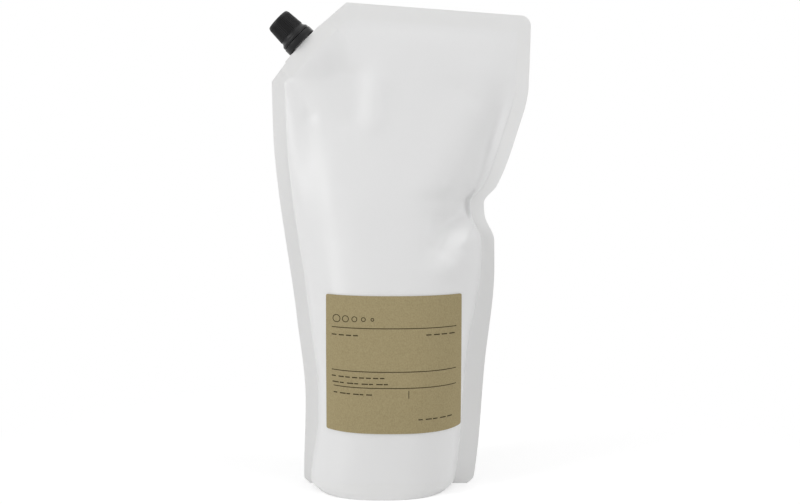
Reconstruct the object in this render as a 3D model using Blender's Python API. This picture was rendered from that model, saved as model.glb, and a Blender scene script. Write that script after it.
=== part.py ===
"""A spouted refill pouch of dish soap, standing filled and closed.

A frosted film pouch with side fins and a gusseted foot, a spout welded into its cut corner, a ribbed
screw cap over a tamper ring, and a square paper label. Metres, +Z up, the label faces -Y. The origin is
the middle of the flat patch that the filled gusset rests on.
"""

import math

import bmesh
import bpy
import numpy as np

MM = 0.001  # every size below is in millimetres and every angle in degrees

# The pouch's outline, seen from the front
POUCH_HEIGHT = 310.0  # at the upper end of the cut corner
CUT_RISE = 49.4  # the height of the cut corner
TOP_DROP = 8.0  # the top edge is this much lower at its right end
SHOULDER_HEIGHT = POUCH_HEIGHT - CUT_RISE  # where the left edge ends and the cut corner starts
CUT_TOP_X = -26.4
CUT_BOW = 2.3  # how far the cut edge bows outwards at the spout
TOP_CORNER_RADIUS = 7.0
# Each side edge runs through these points: the share of its height, then x
LEFT_EDGE = ((0, -51.5), (0.017, -55.6), (0.22, -54.2), (0.42, -59.3), (0.88, -73.4), (1, -74.0))
RIGHT_EDGE = (
    (0, 51.0), (0.015, 55.3), (0.265, 61.9), (0.467, 67.7), (0.53, 67.5), (0.583, 61.2),
    (0.609, 60.6), (0.646, 69.0), (0.748, 80.6), (0.851, 88.4), (1, 89.6),
)

# The film and its seals
FIN_THICKNESS = 0.6
FIN_WIDTH = 8.4
LOW_LEFT_FIN_WIDTH = 4.5
LOW_RIGHT_FIN_WIDTH = 12.5
CUT_SEAL_WIDTH = 12.5  # along a level line, which meets the cut aslant
TOP_SEAL = 11.0

# How far the filled front stands out, as the share of the height and the half depth
FOOT_HALF_DEPTH = 38.0
HALF_DEPTH = (
    (0, FOOT_HALF_DEPTH), (0.19, FOOT_HALF_DEPTH), (0.32, 34.5), (0.58, 23.5), (0.77, 11.5),
    (0.93, 2.4), (1 - TOP_SEAL / POUCH_HEIGHT, 0.0), (1, 0.0),
)
SQUARENESS = ((0, 2.6), (0.4, 2.4), (1, 2.0))
FULLNESS = ((0, 0.5), (0.3, 0.55), (0.55, 0.75), (1, 0.9))

# The foot: the skirt and the middle of the gusset stand on the floor, with a recess between them
RECESS_HEIGHT = 5.0
PATCH_EDGE = 0.45

# Creases of the front: both ends as (x, z), the width, and how far it stands out
CREASES = {
    "long valley": ((79.0, 253.0), (33.0, 157.0), 10.0, -4.5),
    "waist fold": ((62.0, 181.0), (36.0, 172.0), 7.0, -2.6),
    "waist bulge": ((50.0, 158.0), (40.0, 150.0), 10.0, 2.5),
    "ridge below the spout": ((-6.0, 262.0), (-7.0, 236.0), 6.0, 2.2),
    "valley below the spout": ((-21.0, 266.0), (-22.0, 236.0), 7.0, -2.2),
}
CREASE_FADE = 6.0  # a crease dies out where the film stands out less than this

# The spout, cap and ring, with heights measured outwards from the film's cut edge
SPOUT_ALONG_CUT = 30.8  # from the lower end of the cut
BOAT_HALF_LENGTH = 16.0
BOAT_HALF_DEPTH = 6.4
BOAT_TIP = 0.4
BOAT_HEIGHT = 9.0
BORE_RADIUS = 4.5
NECK_WALL = 1.7
NECK_HEIGHT = 19.4
BEAD_PROUD = 1.4
BEAD_HEIGHT = 1.4
FILM_OVER_BOAT = 1.0
COVER_HALF_LENGTH = 22.0
COVER_FADE = 32.0
RING_RADIUS = 10.75
RING_START = 0.6
RING_HEIGHT = 4.2
RING_WALL = 1.6
CATCH_HEIGHT = 1.2
CAP_SKIRT_RADIUS = 10.4
CAP_BODY_RADIUS = 9.2
CAP_TOP_RADIUS = 8.25
CAP_SKIRT_HEIGHT = 3.8
CAP_TOP_THICKNESS = 2.0
CAP_EDGE = 1.1
CAP_RIBS = 36
RIB_DEPTH = 0.35
FIT_GAP = 0.3  # between pieces that touch
THREAD_ROOM = 0.8  # between the neck and the cap

# The label
LABEL_X = (-39.0, 45.5)
LABEL_Z = (42.8, 128.3)
LABEL_THICKNESS = 0.35

# How finely the surfaces are divided
SIDES = 3 * CAP_RIBS
ACROSS = 22
UP = 24

NECK_RADIUS = BORE_RADIUS + NECK_WALL
SHOULDER_X = LEFT_EDGE[-1][1]
SHOULDER_SHARE = SHOULDER_HEIGHT / POUCH_HEIGHT
SEAL_SHARE = 1 - TOP_SEAL / POUCH_HEIGHT
CUT = np.array([CUT_TOP_X - SHOULDER_X, POUCH_HEIGHT - SHOULDER_HEIGHT])
CUT_LENGTH = float(np.hypot(*CUT))
CUT_WAY = CUT / CUT_LENGTH
SPOUT_WAY = np.array([-CUT_WAY[1], CUT_WAY[0]])


def bow_at(share):
    """How far the cut edge stands out from its chord: a parabola that is highest halfway."""
    return CUT_BOW * 4 * share * (1 - share)


SPOUT_ROOT = (
    np.array([SHOULDER_X, SHOULDER_HEIGHT])
    + CUT_WAY * SPOUT_ALONG_CUT
    + SPOUT_WAY * bow_at(SPOUT_ALONG_CUT / CUT_LENGTH)
)


def clear_scene():
    for stale in list(bpy.data.objects):
        bpy.data.objects.remove(stale, do_unlink=True)


def smooth_curve(points, at):
    """A cubic through (position, value) points that doesn't overshoot them. Its slope at a point is the
    harmonic mean of the slopes beside it, or level where those differ in sign."""
    x, y = np.array(points, float).T
    step = np.diff(x)
    slope = np.diff(y) / step
    before, after = slope[:-1], slope[1:]
    same = before * after > 0
    mean = np.where(same, 2 * before * after / np.where(same, before + after, 1), 0)
    slopes = np.concatenate([slope[:1], mean, slope[-1:]])
    i = np.clip(np.searchsorted(x, at, side="right") - 1, 0, len(step) - 1)
    u = np.clip((at - x[i]) / step[i], 0, 1)
    level = (2 * u**3 - 3 * u**2 + 1) * y[i] + (3 * u**2 - 2 * u**3) * y[i + 1]
    return level + step[i] * ((u**3 - 2 * u**2 + u) * slopes[i] + (u**3 - u**2) * slopes[i + 1])


def smooth_step(u):
    """From 0 to 1 with level ends."""
    u = np.clip(u, 0, 1)
    return u * u * (3 - 2 * u)


def left_path(t):
    """The left boundary (x, z): the side edge up to the shoulder, then the bowed cut up to the top."""
    edge = smooth_curve(LEFT_EDGE, np.minimum(t / SHOULDER_SHARE, 1))
    along = np.clip((t - SHOULDER_SHARE) / (1 - SHOULDER_SHARE), 0, 1)
    bow = bow_at(along)
    return edge + along * CUT[0] + bow * SPOUT_WAY[0], t * POUCH_HEIGHT + bow * SPOUT_WAY[1]


def right_path(t):
    """The right boundary (x, z): the side edge with a round corner at the top."""
    top = POUCH_HEIGHT - TOP_DROP
    into = np.clip(t * top - (top - TOP_CORNER_RADIUS), 0, TOP_CORNER_RADIUS)
    corner = TOP_CORNER_RADIUS - np.sqrt(TOP_CORNER_RADIUS**2 - into**2)
    return smooth_curve(RIGHT_EDGE, t) - corner, t * top


def fins(t):
    """The widths of the left and right fins along a level line."""
    side = LOW_LEFT_FIN_WIDTH + (FIN_WIDTH - LOW_LEFT_FIN_WIDTH) * smooth_step(t / 0.15)
    left = side + (CUT_SEAL_WIDTH - FIN_WIDTH) * smooth_step((t - SHOULDER_SHARE) / 0.03)
    low = LOW_RIGHT_FIN_WIDTH
    return left, smooth_curve(((0, low), (0.3, low), (0.5, FIN_WIDTH), (1, FIN_WIDTH)), t)


def plan(s, t):
    """The point (x, z) at share s from the left boundary to the right one, at height share t."""
    (x0, z0), (x1, z1) = left_path(t), right_path(t)
    return x0 + s * (x1 - x0), z0 + s * (z1 - z0)


def between_fins(s, t):
    """0 at the inner border of the left fin and 1 at that of the right one."""
    (x0, z0), (x1, z1) = left_path(t), right_path(t)
    width = np.hypot(x1 - x0, z1 - z0)
    left, right = fins(t)
    return np.clip((s * width - left) / (width - left - right), 0, 1)


def swell(s, t):
    """How much of the full depth the film has: 1 in the middle and 0 at the fins."""
    off_middle = np.abs(2 * between_fins(s, t) - 1)
    return np.maximum(1 - off_middle ** smooth_curve(SQUARENESS, t), 0) ** smooth_curve(FULLNESS, t)


def boat_cover(x, z):
    """The film's half depth where it wraps the spout's boat, fading out below the boat."""
    along = (x - SPOUT_ROOT[0]) * CUT_WAY[0] + (z - SPOUT_ROOT[1]) * CUT_WAY[1]
    inwards = -(x - SPOUT_ROOT[0]) * SPOUT_WAY[0] - (z - SPOUT_ROOT[1]) * SPOUT_WAY[1]
    full = BOAT_HALF_DEPTH + FIT_GAP + FILM_OVER_BOAT
    lens = np.maximum(1 - (along / COVER_HALF_LENGTH) ** 2, 0) ** 1.3
    return full * lens * (1 - smooth_step((inwards - BOAT_HEIGHT - 2) / COVER_FADE))


def half_depth(s, t):
    """The film's distance from the middle plane: the filled body and the wrapped boat, blended."""
    body = smooth_curve(HALF_DEPTH, t) * swell(s, t)
    cover = boat_cover(*plan(s, t))
    return FIN_THICKNESS / 2 + (body**3 + cover**3) ** (1 / 3)


def crease_height(s, t):
    """The creases' part of the front: each is a rounded ridge or valley about a straight segment."""
    x, z = plan(s, t)
    total = np.zeros_like(x)
    for (x0, z0), (x1, z1), width, height in CREASES.values():
        dx, dz = x1 - x0, z1 - z0
        share = np.clip(((x - x0) * dx + (z - z0) * dz) / (dx * dx + dz * dz), 0, 1)
        away = np.hypot(x - x0 - share * dx, z - z0 - share * dz)
        total += height * np.exp(-((away / width) ** 2))
    standing = smooth_curve(HALF_DEPTH, t) * swell(s, t)
    return total * smooth_step(standing / CREASE_FADE)


def front(s, t):
    x, z = plan(s, t)
    return np.stack([x, -half_depth(s, t) - crease_height(s, t), z], axis=-1)


def back(s, t):
    x, z = plan(s, t)
    return np.stack([x, half_depth(s, t), z], axis=-1)


def columns(t):
    """The shares across at height share t: two steps over each fin and the rest closer at the fins."""
    (x0, z0), (x1, z1) = left_path(t), right_path(t)
    width = np.hypot(x1 - x0, z1 - z0)
    left, right = (fin / width for fin in fins(t))
    inner = 0.5 - 0.5 * np.cos(np.linspace(0, math.pi, ACROSS + 1))
    middle = left + inner * (1 - left - right)
    return np.concatenate([[0, left / 2], middle, [1 - right / 2, 1]])


def grid_faces(rows, cols, first=0):
    """The quads of a grid of points numbered row by row from the number first."""
    corner = first + np.arange(rows - 1)[:, None] * cols + np.arange(cols - 1)[None, :]
    quads = np.stack([corner, corner + 1, corner + cols + 1, corner + cols], axis=-1)
    return [tuple(map(int, quad)) for quad in quads.reshape(-1, 4)]


def make_object(name, points, faces, material, parent=None):
    """A mesh object of points in millimetres, with doubles merged and the faces turned outwards."""
    mesh = bpy.data.meshes.new(name)
    mesh.from_pydata((np.asarray(points, float).reshape(-1, 3) * MM).tolist(), [], faces)
    work = bmesh.new()
    work.from_mesh(mesh)
    bmesh.ops.remove_doubles(work, verts=work.verts, dist=1e-6)
    bmesh.ops.recalc_face_normals(work, faces=work.faces)
    work.to_mesh(mesh)
    work.free()
    mesh.shade_smooth()
    mesh.set_sharp_from_angle(angle=math.radians(35))
    made = bpy.data.objects.new(name, mesh)
    bpy.context.scene.collection.objects.link(made)
    made.parent = parent
    if material:
        mesh.materials.append(material)
    return made


def plain_material(name, colour, roughness):
    material = bpy.data.materials.new(name)
    material.use_nodes = True
    shader = material.node_tree.nodes["Principled BSDF"]
    shader.inputs["Base Color"].default_value = (*colour, 1)
    shader.inputs["Roughness"].default_value = roughness
    shader.inputs["Metallic"].default_value = 0
    return material


def cut_with(target, cutter, operation="DIFFERENCE"):
    cutter.hide_render = True
    cutter.display_type = "WIRE"
    boolean = target.modifiers.new(cutter.name, "BOOLEAN")
    boolean.operation = operation
    boolean.object = cutter


def make_pouch(material):
    """The front and back grids, joined by strips along the fins and the top, and by the foot."""
    foot = 0.015
    heights = np.concatenate([
        np.linspace(0, foot, 2),
        np.linspace(foot, SHOULDER_SHARE, UP + 1)[1:],
        np.linspace(SHOULDER_SHARE, SEAL_SHARE, 11)[1:],
        1 - (1 - SEAL_SHARE) * (1 - np.sin(np.linspace(0, math.pi / 2, 6)))[1:],
    ])
    s = np.stack([columns(t) for t in heights])
    t = np.repeat(heights[:, None], s.shape[1], axis=1)
    rows, cols = s.shape
    faces = grid_faces(rows, cols)
    behind = rows * cols
    faces += grid_faces(rows, cols, behind)
    faces += [(r * cols + c, (r + 1) * cols + c, behind + (r + 1) * cols + c, behind + r * cols + c)
              for c in (0, cols - 1) for r in range(1, rows - 1)]
    top = (rows - 1) * cols
    faces += [(top + c, top + c + 1, behind + top + c + 1, behind + top + c) for c in range(cols - 1)]

    way = np.sin(np.linspace(-math.pi / 2, math.pi / 2, 13))[1:-1, None]
    edge = front(s[0], t[0])
    reach = half_depth(s[0], t[0])
    inside = (swell(s[0], t[0]) * (1 - way**2)) / PATCH_EDGE
    lift = RECESS_HEIGHT * np.sin(math.pi * np.minimum(inside, 1)) ** 2
    under = np.stack([np.broadcast_to(edge[:, 0], lift.shape), way * reach, lift], axis=-1)
    first = 2 * behind
    foot_rows = [list(range(cols))]
    foot_rows += [list(range(first + r * cols, first + (r + 1) * cols)) for r in range(len(way))]
    foot_rows.append(list(range(behind, behind + cols)))
    for near, far in zip(foot_rows, foot_rows[1:]):
        faces += [(near[c], near[c + 1], far[c + 1], far[c]) for c in range(cols - 1)]
    for c in (0, cols - 1):
        faces += [(cols + c, near[c], far[c]) for near, far in zip(foot_rows, foot_rows[1:])]
        faces.append((cols + c, behind + c, behind + cols + c))
    points = np.concatenate([front(s, t).reshape(-1, 3), back(s, t).reshape(-1, 3), under.reshape(-1, 3)])
    return make_object("pouch", points, faces, material)


def make_lens(name, grow, low, high, material, parent):
    """A prism with the boat's lens-shaped section, grown by a clearance."""
    length = BOAT_HALF_LENGTH + grow
    x = np.linspace(-length, length, 17)
    y = grow + BOAT_TIP + (BOAT_HALF_DEPTH - BOAT_TIP) * (1 - (x / length) ** 2)
    ring = np.concatenate([np.stack([x, -y], axis=1), np.stack([x, y], axis=1)[::-1]])
    count = len(ring)
    points = [np.column_stack([ring, np.full(count, z)]) for z in (low, high)]
    faces = [tuple(range(count)), tuple(range(count, 2 * count))]
    faces += [(i, (i + 1) % count, count + (i + 1) % count, count + i) for i in range(count)]
    return make_object(name, np.concatenate(points), faces, material, parent)


def make_turned(name, profile, material, parent, closed, ribs=None, sides=SIDES):
    """A profile of (radius, height) turned about the axis. Ribs add a ripple, given for each point."""
    profile = np.array(profile, float)
    ribs = np.zeros(len(profile)) if ribs is None else np.array(ribs, float)
    angle = np.linspace(0, 2 * math.pi, sides + 1)[None, :]
    radius = profile[:, :1] + ribs[:, None] * (0.5 + 0.5 * np.cos(CAP_RIBS * angle))
    height = np.repeat(profile[:, 1:], sides + 1, axis=1)
    points = np.stack([radius * np.cos(angle), radius * np.sin(angle), height], axis=-1)
    if closed:
        points = np.concatenate([points, points[:1]])
    return make_object(name, points, grid_faces(points.shape[0], sides + 1), material, parent)


def make_spout(material, parent):
    bead = RING_START + RING_HEIGHT + FIT_GAP
    neck = make_turned("spout", [
        (BORE_RADIUS, -BOAT_HEIGHT), (NECK_RADIUS - 0.8, -BOAT_HEIGHT), (NECK_RADIUS - 0.8, 0),
        (NECK_RADIUS, 0.2), (NECK_RADIUS, bead), (NECK_RADIUS + BEAD_PROUD, bead),
        (NECK_RADIUS + BEAD_PROUD, bead + BEAD_HEIGHT / 2), (NECK_RADIUS, bead + BEAD_HEIGHT),
        (NECK_RADIUS, NECK_HEIGHT - 0.4), (NECK_RADIUS - 0.4, NECK_HEIGHT), (BORE_RADIUS, NECK_HEIGHT),
    ], material, parent, True, sides=36)
    boat = make_lens("boat", 0, -BOAT_HEIGHT + 0.5, 0.1, None, parent)
    bore = make_turned("bore", [
        (0, -BOAT_HEIGHT - 5), (BORE_RADIUS, -BOAT_HEIGHT - 5), (BORE_RADIUS, NECK_HEIGHT + 5),
        (0, NECK_HEIGHT + 5),
    ], None, parent, False, sides=36)
    cut_with(boat, bore)
    cut_with(neck, boat, "UNION")
    return neck


def make_ring(material, parent):
    """The tamper ring. Its inward catch sits just under the neck's bead."""
    top = RING_START + RING_HEIGHT
    catch = NECK_RADIUS + FIT_GAP
    wide = RING_RADIUS - RING_WALL
    return make_turned("tamper_ring", [
        (wide, RING_START), (RING_RADIUS - 0.3, RING_START), (RING_RADIUS, RING_START + 0.3),
        (RING_RADIUS, top - 0.3), (RING_RADIUS - 0.3, top), (catch, top), (catch, top - CATCH_HEIGHT),
        (wide, top - CATCH_HEIGHT - 0.6),
    ], material, parent, True, sides=48)


def make_cap(material, parent):
    """The ribbed body over its flared skirt, hollow for the neck."""
    low = RING_START + RING_HEIGHT + FIT_GAP
    waist = low + CAP_SKIRT_HEIGHT
    inside_top = NECK_HEIGHT + FIT_GAP
    top = inside_top + CAP_TOP_THICKNESS
    inside = NECK_RADIUS + THREAD_ROOM
    mouth = NECK_RADIUS + BEAD_PROUD + FIT_GAP
    lean = CAP_BODY_RADIUS - CAP_TOP_RADIUS
    outline = [
        (0, inside_top, 0), (inside, inside_top, 0), (inside, waist, 0), (mouth, waist - 1.0, 0),
        (mouth, low, 0), (CAP_SKIRT_RADIUS, low, 0), (CAP_SKIRT_RADIUS - 0.1, low + 1.2, 0),
        (CAP_BODY_RADIUS, waist - 0.6, 0), (CAP_BODY_RADIUS - RIB_DEPTH, waist, 0),
        (CAP_BODY_RADIUS - RIB_DEPTH, waist + 0.5, RIB_DEPTH),
        (CAP_TOP_RADIUS - RIB_DEPTH + lean * 0.1, top - CAP_EDGE - 0.6, RIB_DEPTH),
        (CAP_TOP_RADIUS - RIB_DEPTH, top - CAP_EDGE, 0), (CAP_TOP_RADIUS - CAP_EDGE * 0.5, top - 0.3, 0),
        (CAP_TOP_RADIUS - CAP_EDGE - 0.3, top, 0), (0, top, 0),
    ]
    outline = np.array(outline)
    return make_turned("cap", outline[:, :2], material, parent, False, ribs=outline[:, 2])


def share_of(x, z):
    """The shares (s, t) of the front at a place (x, z), found by stepping towards them."""
    s = np.full_like(x, 0.5)
    t = z / POUCH_HEIGHT
    for _ in range(8):
        t = z / (POUCH_HEIGHT - s * TOP_DROP)
        (x0, _), (x1, _) = left_path(t), right_path(t)
        s = (x - x0) / (x1 - x0)
    return s, t


def make_label(material):
    """A sheet that follows the front, its faces one clearance and one thickness off the film."""
    x, z = np.meshgrid(np.linspace(*LABEL_X, 23), np.linspace(*LABEL_Z, 13))
    nudge = 0.5

    def film(at_x, at_z):
        return front(*share_of(at_x, at_z))

    point = film(x, z)
    across = film(x + nudge, z) - film(x - nudge, z)
    upwards = film(x, z + nudge) - film(x, z - nudge)
    normal = np.cross(across, upwards)
    normal /= np.linalg.norm(normal, axis=-1, keepdims=True)
    inner = point + normal * FIT_GAP
    outer = point + normal * (FIT_GAP + LABEL_THICKNESS)
    rows, cols = x.shape
    size = rows * cols
    faces = grid_faces(rows, cols) + grid_faces(rows, cols, size)
    rim = [(0, c) for c in range(cols)] + [(r, cols - 1) for r in range(1, rows)]
    rim += [(rows - 1, c) for c in range(cols - 2, -1, -1)] + [(r, 0) for r in range(rows - 2, 0, -1)]
    ids = [r * cols + c for r, c in rim]
    faces += [(a, b, size + b, size + a) for a, b in zip(ids, ids[1:] + ids[:1])]
    return make_object("label", np.concatenate([inner, outer]), faces, material)


def main():
    clear_scene()
    axis = bpy.data.objects.new("spout_axis", None)
    bpy.context.scene.collection.objects.link(axis)
    axis.location = (SPOUT_ROOT[0] * MM, 0, SPOUT_ROOT[1] * MM)
    axis.rotation_euler = (0, math.atan2(SPOUT_WAY[0], SPOUT_WAY[1]), 0)
    black = plain_material("black plastic", (0.012, 0.012, 0.013), 0.4)
    pouch = make_pouch(plain_material("frosted film", (0.8, 0.8, 0.79), 0.35))
    socket = make_lens("socket", FIT_GAP, -BOAT_HEIGHT - FIT_GAP, BOAT_HEIGHT, None, axis)
    cut_with(pouch, socket)
    make_spout(plain_material("white plastic", (0.75, 0.75, 0.74), 0.4), axis)
    make_ring(black, axis)
    make_cap(black, axis)
    make_label(plain_material("kraft paper", (0.33, 0.26, 0.15), 0.85))


main()
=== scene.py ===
# %% [markdown]
# # A refill pouch of frosted film
# A filled stand-up pouch with a capped spout in its cut corner and a paper label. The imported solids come
# first, as a frame that nothing here moves. Every new surface is worked out on a grid with numpy, in
# millimetres, and turned into a mesh in metres.

# %% Load the frame
import math

import bmesh
import bpy
import mathutils
import numpy as np
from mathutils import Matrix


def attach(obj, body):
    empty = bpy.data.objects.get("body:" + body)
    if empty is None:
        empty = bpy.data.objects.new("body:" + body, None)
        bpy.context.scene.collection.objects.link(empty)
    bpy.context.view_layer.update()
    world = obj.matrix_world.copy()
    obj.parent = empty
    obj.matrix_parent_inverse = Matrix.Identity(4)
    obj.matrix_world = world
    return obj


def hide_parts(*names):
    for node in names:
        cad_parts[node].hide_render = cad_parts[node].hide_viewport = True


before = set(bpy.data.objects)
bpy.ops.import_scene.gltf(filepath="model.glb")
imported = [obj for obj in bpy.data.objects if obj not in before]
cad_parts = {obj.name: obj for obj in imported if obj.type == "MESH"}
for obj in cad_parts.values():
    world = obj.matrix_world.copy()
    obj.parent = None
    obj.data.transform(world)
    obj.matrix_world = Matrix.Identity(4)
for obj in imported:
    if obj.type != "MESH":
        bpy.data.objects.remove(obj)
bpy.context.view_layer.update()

MM = 0.001
BODY = "pouch_body"

# %% [markdown]
# Two helpers turn grids of points into objects. A grid has rows and columns, and its quads are numbered
# from the corner of each cell, all at once as an array.

# %% Meshes from grids of points


def grid_faces(rows, cols, first=0):
    """The quads of a grid of points numbered row by row from the number first."""
    corner = first + np.arange(rows - 1)[:, None] * cols + np.arange(cols - 1)[None, :]
    quads = np.stack([corner, corner + 1, corner + cols + 1, corner + cols], axis=-1)
    return quads.reshape(-1, 4).tolist()


def make_piece(name, points, faces, material, body, values=None, outwards=True):
    """A smooth piece that rides on a body. values become a number on each point, named seal."""
    mesh = bpy.data.meshes.new(name)
    mesh.from_pydata((np.asarray(points, float).reshape(-1, 3) * MM).tolist(), [], faces)
    if values is not None:
        layer = mesh.attributes.new("seal", "FLOAT", "POINT")
        layer.data.foreach_set("value", np.asarray(values, np.float32).ravel())
    if outwards:
        work = bmesh.new()
        work.from_mesh(mesh)
        bmesh.ops.remove_doubles(work, verts=work.verts, dist=1e-6)
        bmesh.ops.recalc_face_normals(work, faces=work.faces)
        work.to_mesh(mesh)
        work.free()
    mesh.shade_smooth()
    mesh.set_sharp_from_angle(angle=math.radians(38))
    mesh.materials.append(material)
    piece = bpy.data.objects.new(name, mesh)
    bpy.context.scene.collection.objects.link(piece)
    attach(piece, body)
    print(name, len(mesh.vertices), "points", len(mesh.polygons), "faces")
    return piece


# %% [markdown]
# The pouch's outline is drawn by a left and a right boundary. A level line runs between them, so a place
# on the film is a share across and a share up. The curves go through a few points and never overshoot.

# %% The outline of the pouch
POUCH_HEIGHT = 310.0
CUT_RISE = 49.4  # the height of the cut corner
TOP_DROP = 8.0
SHOULDER_HEIGHT = POUCH_HEIGHT - CUT_RISE
CUT_TOP_X = -26.4
CUT_BOW = 2.3
TOP_CORNER_RADIUS = 7.0
LEFT_EDGE = ((0, -51.5), (0.017, -55.6), (0.22, -54.2), (0.42, -59.3), (0.88, -73.4), (1, -74.0))
RIGHT_EDGE = (
    (0, 51.0), (0.015, 55.3), (0.265, 61.9), (0.467, 67.7), (0.53, 67.5), (0.583, 61.2),
    (0.609, 60.6), (0.646, 69.0), (0.748, 80.6), (0.851, 88.4), (1, 89.6),
)
TOP_SEAL = 11.0
FIN_WIDTH = 8.4
LOW_LEFT_FIN_WIDTH = 4.5
LOW_RIGHT_FIN_WIDTH = 12.5
CUT_SEAL_WIDTH = 12.5
SHOULDER_X = LEFT_EDGE[-1][1]
SHOULDER_SHARE = SHOULDER_HEIGHT / POUCH_HEIGHT
SEAL_SHARE = 1 - TOP_SEAL / POUCH_HEIGHT
CUT = np.array([CUT_TOP_X - SHOULDER_X, POUCH_HEIGHT - SHOULDER_HEIGHT])
CUT_LENGTH = float(np.hypot(*CUT))
CUT_WAY = CUT / CUT_LENGTH
SPOUT_WAY = np.array([-CUT_WAY[1], CUT_WAY[0]])
SPOUT_ALONG_CUT = 30.8


def smooth_curve(points, at):
    """A cubic through (position, value) points. Its slope at a point is the harmonic mean of the slopes
    beside it, or level where those differ in sign."""
    x, y = np.array(points, float).T
    step = np.diff(x)
    slope = np.diff(y) / step
    before, after = slope[:-1], slope[1:]
    same = before * after > 0
    mean = np.where(same, 2 * before * after / np.where(same, before + after, 1), 0)
    slopes = np.concatenate([slope[:1], mean, slope[-1:]])
    i = np.clip(np.searchsorted(x, at, side="right") - 1, 0, len(step) - 1)
    u = np.clip((at - x[i]) / step[i], 0, 1)
    level = (2 * u**3 - 3 * u**2 + 1) * y[i] + (3 * u**2 - 2 * u**3) * y[i + 1]
    return level + step[i] * ((u**3 - 2 * u**2 + u) * slopes[i] + (u**3 - u**2) * slopes[i + 1])


def smooth_step(u):
    """3 u squared less 2 u cubed: from 0 to 1 with level ends."""
    u = np.clip(u, 0, 1)
    return u * u * (3 - 2 * u)


def bow_at(share):
    """How far the cut edge stands out from its chord: a parabola, highest halfway."""
    return CUT_BOW * 4 * share * (1 - share)


def left_path(t):
    """The left boundary (x, z): the side edge up to the shoulder, then the bowed cut."""
    edge = smooth_curve(LEFT_EDGE, np.minimum(t / SHOULDER_SHARE, 1))
    along = np.clip((t - SHOULDER_SHARE) / (1 - SHOULDER_SHARE), 0, 1)
    bow = bow_at(along)
    return edge + along * CUT[0] + bow * SPOUT_WAY[0], t * POUCH_HEIGHT + bow * SPOUT_WAY[1]


def right_path(t):
    """The right boundary (x, z): the side edge with a quarter circle at the top."""
    top = POUCH_HEIGHT - TOP_DROP
    into = np.clip(t * top - (top - TOP_CORNER_RADIUS), 0, TOP_CORNER_RADIUS)
    corner = TOP_CORNER_RADIUS - np.sqrt(TOP_CORNER_RADIUS**2 - into**2)
    return smooth_curve(RIGHT_EDGE, t) - corner, t * top


def plan(s, t):
    """The point (x, z) at share s across and t up: a straight line between the boundaries."""
    (x0, z0), (x1, z1) = left_path(t), right_path(t)
    return x0 + s * (x1 - x0), z0 + s * (z1 - z0)


SPOUT_ROOT = (
    np.array([SHOULDER_X, SHOULDER_HEIGHT])
    + CUT_WAY * SPOUT_ALONG_CUT
    + SPOUT_WAY * bow_at(SPOUT_ALONG_CUT / CUT_LENGTH)
)
print("spout root", SPOUT_ROOT, "points along", SPOUT_WAY)

# %% [markdown]
# Soap fills the pouch, so the film swells between its welded fins. Across a level line it stands out by
# a rounded power curve: full and squarish at the foot, shallow and lens-shaped near the top. Over the
# spout's base the film wraps a lens, and the two shapes blend.

# %% How far the film stands out
FIN_THICKNESS = 0.6
FOOT_HALF_DEPTH = 38.0
HALF_DEPTH = (
    (0, FOOT_HALF_DEPTH), (0.19, FOOT_HALF_DEPTH), (0.32, 34.5), (0.58, 23.5), (0.77, 11.5),
    (0.93, 2.4), (SEAL_SHARE, 0.0), (1, 0.0),
)
SQUARENESS = ((0, 2.6), (0.4, 2.4), (1, 2.0))
FULLNESS = ((0, 0.5), (0.3, 0.55), (0.55, 0.75), (1, 0.9))
BOAT_COVER = 7.7
BOAT_HEIGHT = 9.0
COVER_HALF_LENGTH = 22.0
COVER_FADE = 32.0


def fins(t):
    """The widths of the left and right fins along a level line."""
    side = LOW_LEFT_FIN_WIDTH + (FIN_WIDTH - LOW_LEFT_FIN_WIDTH) * smooth_step(t / 0.15)
    left = side + (CUT_SEAL_WIDTH - FIN_WIDTH) * smooth_step((t - SHOULDER_SHARE) / 0.03)
    low = LOW_RIGHT_FIN_WIDTH
    return left, smooth_curve(((0, low), (0.3, low), (0.5, FIN_WIDTH), (1, FIN_WIDTH)), t)


def between_fins(s, t):
    """0 at the inner border of the left fin and 1 at that of the right one, and beyond on the fins."""
    (x0, z0), (x1, z1) = left_path(t), right_path(t)
    width = np.hypot(x1 - x0, z1 - z0)
    left, right = fins(t)
    return (s * width - left) / (width - left - right)


def body_depth(s, t):
    """The crown at this height times (1 - |off the middle| to a power), to a second power."""
    off_middle = np.abs(2 * np.clip(between_fins(s, t), 0, 1) - 1)
    swell = np.maximum(1 - off_middle ** smooth_curve(SQUARENESS, t), 0) ** smooth_curve(FULLNESS, t)
    return smooth_curve(HALF_DEPTH, t) * swell


def spout_place(x, z):
    """A place in the pouch's plane as (along the cut, inwards from it), from the spout's root."""
    dx, dz = x - SPOUT_ROOT[0], z - SPOUT_ROOT[1]
    return dx * CUT_WAY[0] + dz * CUT_WAY[1], -dx * SPOUT_WAY[0] - dz * SPOUT_WAY[1]


def half_depth(s, t):
    """The body and the wrapped boat as the cube root of the sum of their cubes, and half the film."""
    along, inwards = spout_place(*plan(s, t))
    lens = np.maximum(1 - (along / COVER_HALF_LENGTH) ** 2, 0) ** 1.3
    cover = BOAT_COVER * lens * (1 - smooth_step((inwards - BOAT_HEIGHT - 2) / COVER_FADE))
    return FIN_THICKNESS / 2 + (body_depth(s, t) ** 3 + cover**3) ** (1 / 3)


# %% [markdown]
# The upper half is only loosely filled, so the film creases. Each crease is a soft ridge or valley about
# a straight segment: its height times a bell curve of the distance to the segment. Weld marks run along
# the cut in the same way, only much finer.

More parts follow.
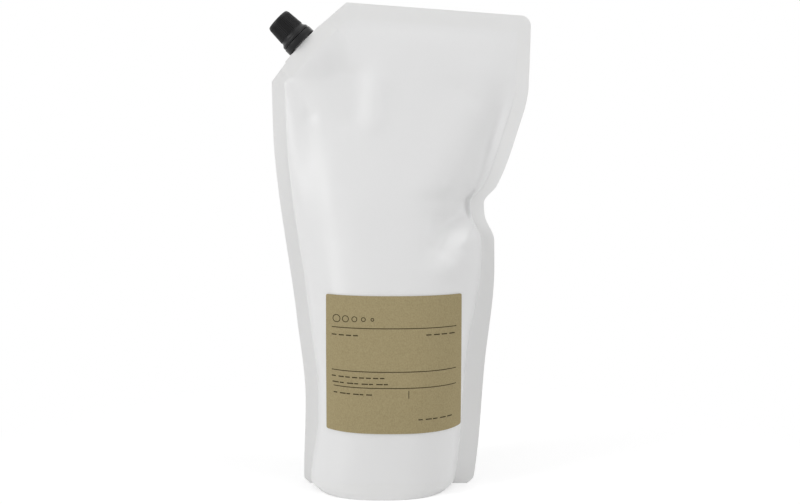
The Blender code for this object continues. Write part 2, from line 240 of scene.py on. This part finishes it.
# %% Creases and weld marks
CREASES = {
    "long valley": ((79, 253), (33, 157), 9, -5.3),
    "waist fold": ((62, 181), (36, 172), 7, -2.6),
    "waist bulge": ((50, 160), (38, 150), 11, 3.8),
    "waist pleat": ((58, 176), (47, 160), 3, 1.4),
    "ridge below the spout": ((-6, 260), (-8, 238), 8, 1.6),
    "valley below the spout": ((-21, 264), (-23, 238), 9, -1.7),
    "dimple at the shoulder": ((-62, 254), (-50, 240), 5, -1.0),
    "crease under the top": ((-52, 283), (-31, 285), 4, -0.8),
    "upper right patch": ((66, 272), (78, 258), 8, 1.6),
    "shade beside it": ((46, 256), (52, 250), 7, -1.5),
    "second long fold": ((60, 262), (20, 190), 14, 1.4),
    "left flute": ((-52, 235), (-46, 120), 9, -1.3),
    "right flute": ((72, 240), (66, 200), 5, -1.6),
    "dent beside the label": ((-43, 68), (-40, 62), 5, -0.9),
}
FILM_CREASE_FADE = 5.0
WELD_MARKS = ((-23.0, 13.0, 8.6), (-24.0, -13.5, 8.2), (14.0, 27.0, 7.4), (17.0, 26.0, 9.6))
WELD_WIDTH = 0.35
WELD_PROUD = 0.22
FOOT_BAND = 11.0
STEP_WIDTH = 0.7


def bump_along(x, z, start, end, width):
    """A bell curve of the distance from a segment: e to minus (distance over width) squared."""
    (x0, z0), (x1, z1) = start, end
    dx, dz = x1 - x0, z1 - z0
    share = np.clip(((x - x0) * dx + (z - z0) * dz) / (dx * dx + dz * dz), 0, 1)
    return np.exp(-(((x - x0 - share * dx) ** 2 + (z - z0 - share * dz) ** 2) / width**2))


def creases(s, t):
    """The creases' height, which fades out near the fins, and three slow ripples across the film."""
    x, z = plan(s, t)
    total = sum(height * bump_along(x, z, a, b, width) for a, b, width, height in CREASES.values())
    loose = smooth_step((z - 120) / 80)
    ripple = np.sin(x / 9.0 + z / 31.0) * np.sin(z / 17.0 - x / 40.0) + 0.6 * np.sin(x / 5.3 - z / 12.0)
    return (total + 0.22 * loose * ripple) * smooth_step(body_depth(s, t) / FILM_CREASE_FADE)


def weld_marks(x, z):
    """Thin proud lines parallel to the cut, each between two places along it."""
    along, inwards = spout_place(x, z)
    total = np.zeros_like(x)
    for low, high, depth in WELD_MARKS:
        inside = smooth_step((along - low) / 1.0) * smooth_step((high - along) / 1.0)
        total += inside * np.exp(-(((inwards - depth) / WELD_WIDTH) ** 2))
    return WELD_PROUD * total


def seal_amount(s, t):
    """1 where the films are welded: the fins, the top, the cut and the band round the foot."""
    (x0, z0), (x1, z1) = left_path(t), right_path(t)
    width = np.hypot(x1 - x0, z1 - z0)
    left, right = fins(t)
    side = np.maximum(smooth_step((left - s * width) / STEP_WIDTH + 0.5),
                      smooth_step((right - (1 - s) * width) / STEP_WIDTH + 0.5))
    top = smooth_step((t - SEAL_SHARE) * POUCH_HEIGHT / STEP_WIDTH + 0.5)
    arc = FOOT_BAND * (1 - 0.35 * (2 * np.clip(between_fins(s, t), 0, 1) - 1) ** 2)
    foot = smooth_step((arc - t * POUCH_HEIGHT) / STEP_WIDTH + 0.5)
    return np.maximum(np.maximum(side, top), 0.8 * foot)


# %% [markdown]
# The film is one closed surface: a front grid, a back grid, narrow strips that join them at the fins and
# the top, and the gusset underneath. The gusset rests on the floor in its middle and rises to a shallow
# recess inside the skirt. The grid is closer at the fins, where the film turns fastest.

# %% The film's surface
ACROSS = 116
UP = 170
RECESS_HEIGHT = 5.0
PATCH_EDGE = 0.45


def film_front(s, t):
    """(x, y, z) of the front, which faces -y: the depth, the creases, the welds and a thinner seal."""
    x, z = plan(s, t)
    proud = half_depth(s, t) + creases(s, t) + weld_marks(x, z) - 0.12 * seal_amount(s, t)
    return np.stack([x, -proud, z], axis=-1)


def film_back(s, t):
    """(x, y, z) of the back, with the ripples of the front at half their height."""
    x, z = plan(s, t)
    return np.stack([x, half_depth(s, t) + 0.35 * creases(s, t) - 0.12 * seal_amount(s, t), z], axis=-1)


def columns(t):
    """The shares across at height share t: a few over each fin, the rest a cosine apart."""
    (x0, z0), (x1, z1) = left_path(t), right_path(t)
    width = np.hypot(x1 - x0, z1 - z0)
    left, right = (fin / width for fin in fins(t))
    inner = 0.5 - 0.5 * np.cos(np.linspace(0, math.pi, ACROSS + 1))
    fin = np.array([0, 0.25, 0.5, 0.75, 0.93])
    return np.concatenate([fin * left, left + inner * (1 - left - right), 1 - fin[::-1] * right])


def film_mesh():
    """The points, faces and seal values of the whole film."""
    heights = np.concatenate([
        np.linspace(0, 0.05, 14),
        np.linspace(0.05, SHOULDER_SHARE, UP)[1:],
        np.linspace(SHOULDER_SHARE, SEAL_SHARE, 46)[1:],
        1 - (1 - SEAL_SHARE) * (1 - np.sin(np.linspace(0, math.pi / 2, 14)))[1:],
    ])
    s = np.stack([columns(t) for t in heights])
    t = np.repeat(heights[:, None], s.shape[1], axis=1)
    rows, cols = s.shape
    behind = rows * cols
    faces = grid_faces(rows, cols) + grid_faces(rows, cols, behind)
    r = np.arange(1, rows - 1)
    for c in (0, cols - 1):
        strip = [r * cols + c, (r + 1) * cols + c, behind + (r + 1) * cols + c, behind + r * cols + c]
        faces += np.stack(strip, axis=1).tolist()
    top = (rows - 1) * cols + np.arange(cols - 1)
    faces += np.stack([top, top + 1, behind + top + 1, behind + top], axis=1).tolist()

    way = np.sin(np.linspace(-math.pi / 2, math.pi / 2, 41))[1:-1, None]
    edge, far = film_front(s[0], t[0]), film_back(s[0], t[0])
    middle, reach = (edge[:, 1] + far[:, 1]) / 2, (far[:, 1] - edge[:, 1]) / 2
    inside = body_depth(s[0], t[0]) / FOOT_HALF_DEPTH * (1 - way**2) / PATCH_EDGE
    lift = RECESS_HEIGHT * np.sin(math.pi * np.minimum(inside, 1)) ** 2
    under = np.stack([np.broadcast_to(edge[:, 0], lift.shape), middle + way * reach, lift], axis=-1)
    first = 2 * behind
    ids = [np.arange(cols)] + [first + k * cols + np.arange(cols) for k in range(len(way))]
    ids.append(behind + np.arange(cols))
    for near, next_row in zip(ids, ids[1:]):
        faces += np.stack([near[:-1], near[1:], next_row[1:], next_row[:-1]], axis=1).tolist()
    for c in (0, cols - 1):
        faces += [[cols + c, int(near[c]), int(next_row[c])] for near, next_row in zip(ids, ids[1:])]
        faces.append([cols + c, behind + c, behind + cols + c])
    points = np.concatenate([p.reshape(-1, 3) for p in (film_front(s, t), film_back(s, t), under)])
    seal = np.concatenate([seal_amount(s, t).ravel()] * 2 + [np.zeros(under.size // 3)])
    return points, faces, seal


# %% [markdown]
# The film is frosted: a white plastic with a broad soft sheen, a fine grain, and a little light that
# scatters inside it. The welded seals are a touch greyer, which the seal value steers.

# %% Materials


def new_material(name, colour, roughness, specular=0.5):
    """A Principled material with its constant values on the shader's own sockets."""
    material = bpy.data.materials.new(name)
    material.use_nodes = True
    shader = material.node_tree.nodes["Principled BSDF"]
    shader.inputs["Base Color"].default_value = (*colour, 1)
    shader.inputs["Roughness"].default_value = roughness
    shader.inputs["Specular IOR Level"].default_value = specular
    return material, shader, material.node_tree.nodes, material.node_tree.links


def noise(nodes, links, scale, detail=3.0, stretch=(1, 1, 1)):
    """Noise on Object coordinates, stretched by a Mapping node."""
    place = nodes.new("ShaderNodeTexCoord")
    mapping = nodes.new("ShaderNodeMapping")
    mapping.inputs["Scale"].default_value = stretch
    texture = nodes.new("ShaderNodeTexNoise")
    texture.inputs["Scale"].default_value = scale
    texture.inputs["Detail"].default_value = detail
    links.new(place.outputs["Object"], mapping.inputs["Vector"])
    links.new(mapping.outputs["Vector"], texture.inputs["Vector"])
    return texture.outputs["Fac"]


def ramp(nodes, links, value, stops):
    """Colours by value: stops are (position, linear colour)."""
    node = nodes.new("ShaderNodeValToRGB")
    elements = node.color_ramp.elements
    while len(elements) < len(stops):
        elements.new(0.5)
    for element, (position, colour) in zip(elements, stops):
        element.position = position
        element.color = (*colour, 1)
    links.new(value, node.inputs["Fac"])
    return node.outputs["Color"]


def add_bump(nodes, links, shader, value, distance, strength=1.0):
    """Bump in metres, chained onto any bump that is there."""
    bump = nodes.new("ShaderNodeBump")
    bump.inputs["Distance"].default_value = distance
    bump.inputs["Strength"].default_value = strength
    links.new(value, bump.inputs["Height"])
    if shader.inputs["Normal"].is_linked:
        links.new(shader.inputs["Normal"].links[0].from_socket, bump.inputs["Normal"])
    links.new(bump.outputs["Normal"], shader.inputs["Normal"])


def film_material():
    material, shader, nodes, links = new_material("frosted film", (0.8, 0.8, 0.8), 0.36, 0.45)
    seal = nodes.new("ShaderNodeAttribute")
    seal.attribute_name = "seal"
    colour = ramp(nodes, links, seal.outputs["Fac"], [(0, (0.83, 0.83, 0.83)), (1, (0.825, 0.825, 0.82))])
    links.new(colour, shader.inputs["Base Color"])
    gloss = nodes.new("ShaderNodeMapRange")
    gloss.inputs["To Min"].default_value = 0.30
    gloss.inputs["To Max"].default_value = 0.42
    links.new(noise(nodes, links, 38), gloss.inputs["Value"])
    links.new(gloss.outputs["Result"], shader.inputs["Roughness"])
    shader.inputs["Subsurface Weight"].default_value = 0.12
    shader.inputs["Subsurface Radius"].default_value = (0.004, 0.004, 0.004)
    shader.inputs["Subsurface Scale"].default_value = 1.0
    add_bump(nodes, links, shader, noise(nodes, links, 1800, 2), 0.00004)
    add_bump(nodes, links, shader, noise(nodes, links, 60, 2), 0.0004, 0.35)
    return material


def black_material():
    material, shader, nodes, links = new_material("satin black", (0.005, 0.005, 0.0055), 0.36, 0.28)
    gloss = nodes.new("ShaderNodeMapRange")
    gloss.inputs["To Min"].default_value = 0.3
    gloss.inputs["To Max"].default_value = 0.44
    links.new(noise(nodes, links, 400), gloss.inputs["Value"])
    links.new(gloss.outputs["Result"], shader.inputs["Roughness"])
    add_bump(nodes, links, shader, noise(nodes, links, 2500, 2), 0.00002)
    return material


def white_material():
    material, shader, nodes, links = new_material("natural white plastic", (0.74, 0.74, 0.72), 0.4)
    gloss = nodes.new("ShaderNodeMapRange")
    gloss.inputs["To Min"].default_value = 0.34
    gloss.inputs["To Max"].default_value = 0.46
    links.new(noise(nodes, links, 300), gloss.inputs["Value"])
    links.new(gloss.outputs["Result"], shader.inputs["Roughness"])
    return material


KRAFT = ((0.315, 0.255, 0.135), (0.37, 0.305, 0.165), (0.42, 0.35, 0.2))


def kraft_material():
    """Brown paper: cloudy pulp, fine streaks of fibre, and dark and light specks."""
    material, shader, nodes, links = new_material("kraft paper", KRAFT[1], 0.85, 0.25)
    pulp = ramp(nodes, links, noise(nodes, links, 1300, 6, (1, 1, 0.8)),
                [(0.25, KRAFT[0]), (0.5, KRAFT[1]), (0.8, KRAFT[2])])
    specks = ramp(nodes, links, noise(nodes, links, 1500, 1),
                  [(0.0, (0.45, 0.42, 0.4)), (0.3, (1, 1, 1)), (0.72, (1, 1, 1)), (0.8, (1.25, 1.25, 1.2))])
    mix = nodes.new("ShaderNodeMix")
    mix.data_type = "RGBA"
    mix.blend_type = "MULTIPLY"
    mix.inputs["Factor"].default_value = 1
    links.new(pulp, mix.inputs["A"])
    links.new(specks, mix.inputs["B"])
    links.new(mix.outputs["Result"], shader.inputs["Base Color"])
    add_bump(nodes, links, shader, noise(nodes, links, 1400, 4), 0.00003)
    return material


def ink_material():
    material, shader, nodes, links = new_material("dark brown ink", (0.05, 0.038, 0.02), 0.8, 0.2)
    worn = ramp(nodes, links, noise(nodes, links, 2200, 2), [(0.3, (0.04, 0.03, 0.016)), (0.8, (0.075, 0.058, 0.03))])
    links.new(worn, shader.inputs["Base Color"])
    return material


FILM, BLACK, WHITE, PAPER, INK = (
    film_material(), black_material(), white_material(), kraft_material(), ink_material()
)

# %% The film as a piece
points, faces, seal = film_mesh()
film = make_piece("film_pouch", points, faces, FILM, BODY, seal)
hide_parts("pouch")
print("film box", points.min(axis=0), points.max(axis=0))

# %% [markdown]
# The label is a square of paper that follows the film. Its place on the film is found by stepping the two
# shares towards it. Its print sits a hair above the paper as narrow patches of the same surface: three
# rules, a tick, plain bars where lines of small print would be, and a row of bubbles as an ornament.

# %% The label and its print
LABEL_X = (-39.0, 45.5)
LABEL_Z = (42.8, 128.3)
LABEL_GAP = 0.3
LABEL_THICKNESS = 0.35
LABEL_CORNER = 0.9
INK_PROUD = 0.07
RULE = 0.003  # half the width of a printed rule, as a share of the label
BAR = 0.0042  # the same for the bars


def label_place(u, v, proud):
    """The point at shares (u, v) of the label, proud of the film along its normal."""
    x = LABEL_X[0] + u * (LABEL_X[1] - LABEL_X[0])
    z = LABEL_Z[0] + v * (LABEL_Z[1] - LABEL_Z[0])

    def film_at(x, z):
        s = np.full_like(x, 0.5)
        for _ in range(8):
            t = z / (POUCH_HEIGHT - s * TOP_DROP)
            x0, x1 = left_path(t)[0], right_path(t)[0]
            s = (x - x0) / (x1 - x0)
        return np.stack([x, -half_depth(s, t), z], axis=-1)

    normal = np.cross(film_at(x + 0.5, z) - film_at(x - 0.5, z), film_at(x, z + 0.5) - film_at(x, z - 0.5))
    return film_at(x, z) + proud * normal / np.linalg.norm(normal, axis=-1, keepdims=True)


def make_label():
    """An outer and an inner grid and a rim. The side margins pull in near the top and bottom edges by
    a quarter circle, which rounds the corners."""
    v = np.concatenate([np.linspace(0, 0.012, 6), np.linspace(0.012, 0.988, 60)[1:], np.linspace(0.988, 1, 6)[1:]])
    size = LABEL_X[1] - LABEL_X[0]
    near = np.minimum(v, 1 - v) * size
    inset = LABEL_CORNER - np.sqrt(LABEL_CORNER**2 - np.clip(LABEL_CORNER - near, 0, LABEL_CORNER) ** 2)
    u = np.linspace(0, 1, 81)[None, :] * (1 - 2 * inset[:, None] / size) + inset[:, None] / size
    grid_v = np.repeat(v[:, None], u.shape[1], axis=1)
    outer = label_place(u, grid_v, LABEL_GAP + LABEL_THICKNESS)
    inner = label_place(u, grid_v, LABEL_GAP)
    rows, cols = u.shape
    count = rows * cols
    faces = grid_faces(rows, cols) + grid_faces(rows, cols, count)
    rim = [(0, c) for c in range(cols)] + [(r, cols - 1) for r in range(1, rows)]
    rim += [(rows - 1, c) for c in range(cols - 2, -1, -1)] + [(r, 0) for r in range(rows - 2, 0, -1)]
    ids = [r * cols + c for r, c in rim]
    faces += [[a, b, count + b, count + a] for a, b in zip(ids, ids[1:] + ids[:1])]
    piece = make_piece("paper_label", np.concatenate([outer, inner]), faces, PAPER, BODY)
    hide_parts("label")


def patch(u0, u1, v0, v1):
    """A printed rectangle as a grid of shares."""
    return np.meshgrid(np.linspace(u0, u1, max(2, int(60 * (u1 - u0)) + 2)), np.linspace(v0, v1, 3))


def bubble(u, v, radius, line=0.0055):
    """A printed ring as a grid of shares: two circles joined."""
    angle = np.linspace(0, 2 * math.pi, 49)[None, :]
    r = np.array([radius - line, radius])[:, None]
    return u + r * np.cos(angle), v + r * np.sin(angle)


def make_print():
    rules = [(0.044, 0.96, 0.766), (0.044, 0.957, 0.453), (0.058, 0.957, 0.336)]
    prints = [patch(u0, u1, v - RULE, v + RULE) for u0, u1, v in rules]
    prints.append(patch(0.607, 0.612, 0.262, 0.317))
    bars = [(0.044, 0.255, 0.712), (0.737, 0.963, 0.716), (0.044, 0.449, 0.408), (0.05, 0.48, 0.364),
            (0.058, 0.347, 0.287), (0.679, 0.945, 0.101)]
    for u0, u1, v in bars:
        count = max(3, round((u1 - u0) / 0.052))
        starts = u0 + (u1 - u0) * np.arange(count) / count
        lengths = (u1 - u0) / count * (0.72 + 0.16 * np.sin(3.0 * np.arange(count) + 40 * v))
        prints += [patch(a, a + length, v - BAR, v + BAR) for a, length in zip(starts, lengths)]
    prints += [bubble(0.08 + 0.066 * k, 0.83, 0.029 - 0.004 * k) for k in range(5)]
    points, faces, first = [], [], 0
    for u, v in prints:
        points.append(label_place(u, v, LABEL_GAP + LABEL_THICKNESS + INK_PROUD).reshape(-1, 3))
        faces += grid_faces(*u.shape, first)
        first += u.size
    make_piece("label_print", np.concatenate(points), faces, INK, BODY)


make_label()
make_print()

# %% [markdown]
# The spout's parts are turned. A profile of radius and height goes round the spout's axis, and the cap's
# side gets ribs from a cosine of the angle. The axis is the cut edge's outward normal, so a turned point
# is the root plus radius along the cut, radius across the pouch, and height along the axis.

# %% Cap, ring and thread
NECK_RADIUS = 6.2
NECK_HEIGHT = 19.4
RING_START, RING_TOP, RING_RADIUS = 0.6, 4.8, 10.75
CAP_START, CAP_WAIST, CAP_TOP = 5.1, 8.9, 21.7
CAP_SKIRT_RADIUS, CAP_BODY_RADIUS, CAP_TOP_RADIUS = 10.4, 9.2, 8.25
CAP_RIBS = 48
RIB_DEPTH = 0.36


def spout_points(x, y, z):
    """Points along the cut, across the pouch and out along the spout, in the pouch's frame."""
    out = SPOUT_ROOT[0] + x * CUT_WAY[0] + z * SPOUT_WAY[0], y, SPOUT_ROOT[1] + x * CUT_WAY[1] + z * SPOUT_WAY[1]
    return np.stack(np.broadcast_arrays(*out), axis=-1)


def turn(profile, sides, ribs=None):
    """Each profile point's radius, plus its share of a cosine ripple, round the axis."""
    profile = np.array(profile, float)
    ribs = np.zeros(len(profile)) if ribs is None else ribs
    angle = np.linspace(0, 2 * math.pi, sides + 1)[None, :]
    wave = np.clip(0.5 + 0.9 * np.cos(CAP_RIBS * angle), 0, 1)
    radius = profile[:, :1] + ribs[:, None] * wave
    return spout_points(radius * np.cos(angle), radius * np.sin(angle), profile[:, 1:] + 0 * angle)


def rounded(corner_radius, top_radius, top, steps=7):
    """A quarter circle from the side up to the flat top."""
    a = np.linspace(0, math.pi / 2, steps)
    x = top_radius - corner_radius + corner_radius * np.cos(a)
    return [(float(r), float(z)) for r, z in zip(x, top - corner_radius + corner_radius * np.sin(a))]


def make_cap():
    inside, mouth = NECK_RADIUS + 0.8, NECK_RADIUS + 1.7
    side = np.linspace(CAP_WAIST + 0.7, CAP_TOP - 1.9, 12)
    lean = (CAP_BODY_RADIUS - CAP_TOP_RADIUS) / (CAP_TOP - CAP_WAIST)
    flare = np.linspace(0, 1, 9)
    plain = [(0, NECK_HEIGHT + 0.3), (inside, NECK_HEIGHT + 0.3), (inside, CAP_WAIST), (mouth, CAP_WAIST - 1),
             (mouth, CAP_START), (CAP_SKIRT_RADIUS - 0.15, CAP_START), (CAP_SKIRT_RADIUS, CAP_START + 0.2),
             (CAP_SKIRT_RADIUS, CAP_START + 1.1)]
    plain += [(CAP_SKIRT_RADIUS - (CAP_SKIRT_RADIUS - CAP_BODY_RADIUS + 0.2) * float(smooth_step(f)),
               CAP_START + 1.1 + 2.4 * f) for f in flare[1:]]
    ribbed = [(CAP_BODY_RADIUS - RIB_DEPTH - lean * (z - CAP_WAIST), z) for z in side]
    ends = rounded(1.3, CAP_TOP_RADIUS - 0.1, CAP_TOP)
    top = ends + [(5.6, CAP_TOP), (5.3, CAP_TOP - 0.12), (0, CAP_TOP - 0.12)]
    profile = plain + [(CAP_BODY_RADIUS - RIB_DEPTH, CAP_WAIST + 0.1)] + ribbed + top
    ribs = np.zeros(len(profile))
    ribs[len(plain) + 1:len(plain) + 1 + len(ribbed)] = RIB_DEPTH
    grid = turn(profile, CAP_RIBS * 6, ribs)
    cap = make_piece("ribbed_cap", grid, grid_faces(*grid.shape[:2]), BLACK, "cap_body")
    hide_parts("cap")


def make_ring():
    catch = NECK_RADIUS + 0.3
    wide = RING_RADIUS - 1.6
    profile = [(wide, RING_START), (RING_RADIUS - 0.35, RING_START), (RING_RADIUS - 0.1, RING_START + 0.1),
               (RING_RADIUS, RING_START + 0.35), (RING_RADIUS, RING_TOP - 0.35),
               (RING_RADIUS - 0.1, RING_TOP - 0.1), (RING_RADIUS - 0.35, RING_TOP), (catch, RING_TOP),
               (catch, RING_TOP - 1.2), (wide, RING_TOP - 1.8), (wide, RING_START)]
    grid = turn(profile, 144)
    ring = make_piece("tamper_band", grid, grid_faces(*grid.shape[:2]), BLACK, "ring_body")
    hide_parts("tamper_ring")


def make_thread():
    """A ridge of triangular section along a helix: two and a half turns at a pitch of 4 mm."""
    angle = np.linspace(0, 5 * math.pi, 181)[:, None]
    fade = smooth_step(np.minimum(angle, 5 * math.pi - angle) / 0.5)
    section = np.array([[-0.15, -0.7], [0.55, -0.15], [0.55, 0.15], [-0.15, 0.7], [-0.15, -0.7]])
    radius = NECK_RADIUS + section[None, :, 0] * np.where(section[None, :, 0] > 0, fade, 1)
    height = 8.4 + 4.0 * angle / (2 * math.pi) + section[None, :, 1]
    grid = spout_points(radius * np.cos(angle), radius * np.sin(angle), height)
    faces = grid_faces(*grid.shape[:2]) + [[0, 1, 2, 3], [900 + 3, 900 + 2, 900 + 1, 900]]
    make_piece("neck_thread", grid, faces, WHITE, BODY)


make_cap()
make_ring()
make_thread()
for slot_of_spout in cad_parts["spout"].material_slots:
    slot_of_spout.material = WHITE

# %% [markdown]
# The camera stands a little above the pouch's middle and looks slightly down, far enough off for a calm
# perspective. A large soft lamp at the left gives the film its long highlight, a weaker one fills the
# right side, and the surroundings are plain white.

# %% Camera, light and floor
CAMERA = (7.1, -840.0, 250.0)
AIM = (7.1, 0.0, 152.3)
VIEW_WIDTH = 513.2  # what the picture spans at the pouch's middle plane
FLOOR_GLOW = 0.36
FLOOR_FADE = (0.11, 0.32)  # in metres from the pouch's middle


def aimed(obj, place, target):
    """Puts a camera or lamp at a place, looking at a target: its -Z axis along the line between."""
    way = mathutils.Vector([b - a for a, b in zip(place, target)])
    obj.location = [v * MM for v in place]
    obj.rotation_euler = way.to_track_quat("-Z", "Y").to_euler()
    bpy.context.scene.collection.objects.link(obj)


camera_data = bpy.data.cameras.new("camera")
distance = math.dist(CAMERA, AIM)
camera_data.sensor_fit = "HORIZONTAL"
camera_data.angle = 2 * math.atan(VIEW_WIDTH / 2 / distance)
camera = bpy.data.objects.new("camera", camera_data)
aimed(camera, CAMERA, AIM)
bpy.context.scene.camera = camera


def add_lamp(name, place, size, power):
    data = bpy.data.lights.new(name, "AREA")
    data.shape = "RECTANGLE"
    data.size, data.size_y = (v * MM for v in size)
    data.energy = power
    aimed(bpy.data.objects.new(name, data), place, (0, 0, 150))


add_lamp("left softbox", (-1000, -650, 450), (450, 1100), 6.0)
add_lamp("right fill", (1000, -500, 500), (700, 1000), 3.2)
add_lamp("top softbox", (100, -200, 1300), (1000, 800), 2.6)
add_lamp("back fill", (300, 1100, 600), (900, 900), 2.6)


def seen_plainly(nodes, links):
    """1 for what the camera sees straight on, in a reflection or through a clear thing, and 0 for light."""
    path = nodes.new("ShaderNodeLightPath")
    value = path.outputs["Is Camera Ray"]
    for ray in ("Is Glossy Ray", "Is Transmission Ray"):
        larger = nodes.new("ShaderNodeMath")
        larger.operation = "MAXIMUM"
        links.new(value, larger.inputs[0])
        links.new(path.outputs[ray], larger.inputs[1])
        value = larger.outputs[0]
    return value


def white_world():
    """Plain soft light, seen as white by the camera and in reflections."""
    world = bpy.data.worlds.new("studio")
    bpy.context.scene.world = world
    world.use_nodes = True
    nodes, links = world.node_tree.nodes, world.node_tree.links
    soft = nodes["Background"]
    soft.inputs["Color"].default_value = (1, 1, 1, 1)
    soft.inputs["Strength"].default_value = 0.45
    seen = nodes.new("ShaderNodeBackground")
    seen.inputs["Color"].default_value = (1, 1, 1, 1)
    mix = nodes.new("ShaderNodeMixShader")
    links.new(seen_plainly(nodes, links), mix.inputs[0])
    links.new(soft.outputs[0], mix.inputs[1])
    links.new(seen.outputs[0], mix.inputs[2])
    links.new(mix.outputs[0], nodes["World Output"].inputs["Surface"])


def white_floor():
    """A matt white floor that keeps the shadow. Away from the pouch it fades into the white around."""
    mesh = bpy.data.meshes.new("floor")
    half = 6.0
    mesh.from_pydata([(-half, -half, 0), (half, -half, 0), (half, half, 0), (-half, half, 0)], [], [(0, 1, 2, 3)])
    floor = bpy.data.objects.new("floor", mesh)
    bpy.context.scene.collection.objects.link(floor)
    material, shader, nodes, links = new_material("white floor", (0.85, 0.85, 0.85), 0.9, 0.0)
    seen = seen_plainly(nodes, links)
    shader.inputs["Emission Color"].default_value = (1, 1, 1, 1)
    glow = nodes.new("ShaderNodeMath")
    glow.operation = "MULTIPLY"
    glow.inputs[1].default_value = FLOOR_GLOW
    links.new(seen, glow.inputs[0])
    links.new(glow.outputs[0], shader.inputs["Emission Strength"])
    place = nodes.new("ShaderNodeTexCoord")
    away = nodes.new("ShaderNodeVectorMath")
    away.operation = "LENGTH"
    links.new(place.outputs["Object"], away.inputs[0])
    far = nodes.new("ShaderNodeMapRange")
    far.inputs["From Min"].default_value, far.inputs["From Max"].default_value = FLOOR_FADE
    links.new(away.outputs["Value"], far.inputs["Value"])
    share = nodes.new("ShaderNodeMath")
    share.operation = "MULTIPLY"
    links.new(far.outputs["Result"], share.inputs[0])
    links.new(seen, share.inputs[1])
    plain = nodes.new("ShaderNodeEmission")
    mix = nodes.new("ShaderNodeMixShader")
    links.new(share.outputs[0], mix.inputs[0])
    links.new(shader.outputs[0], mix.inputs[1])
    links.new(plain.outputs[0], mix.inputs[2])
    links.new(mix.outputs[0], nodes["Material Output"].inputs["Surface"])
    mesh.materials.append(material)


white_world()
white_floor()
bpy.context.scene.view_settings.view_transform = "Standard"
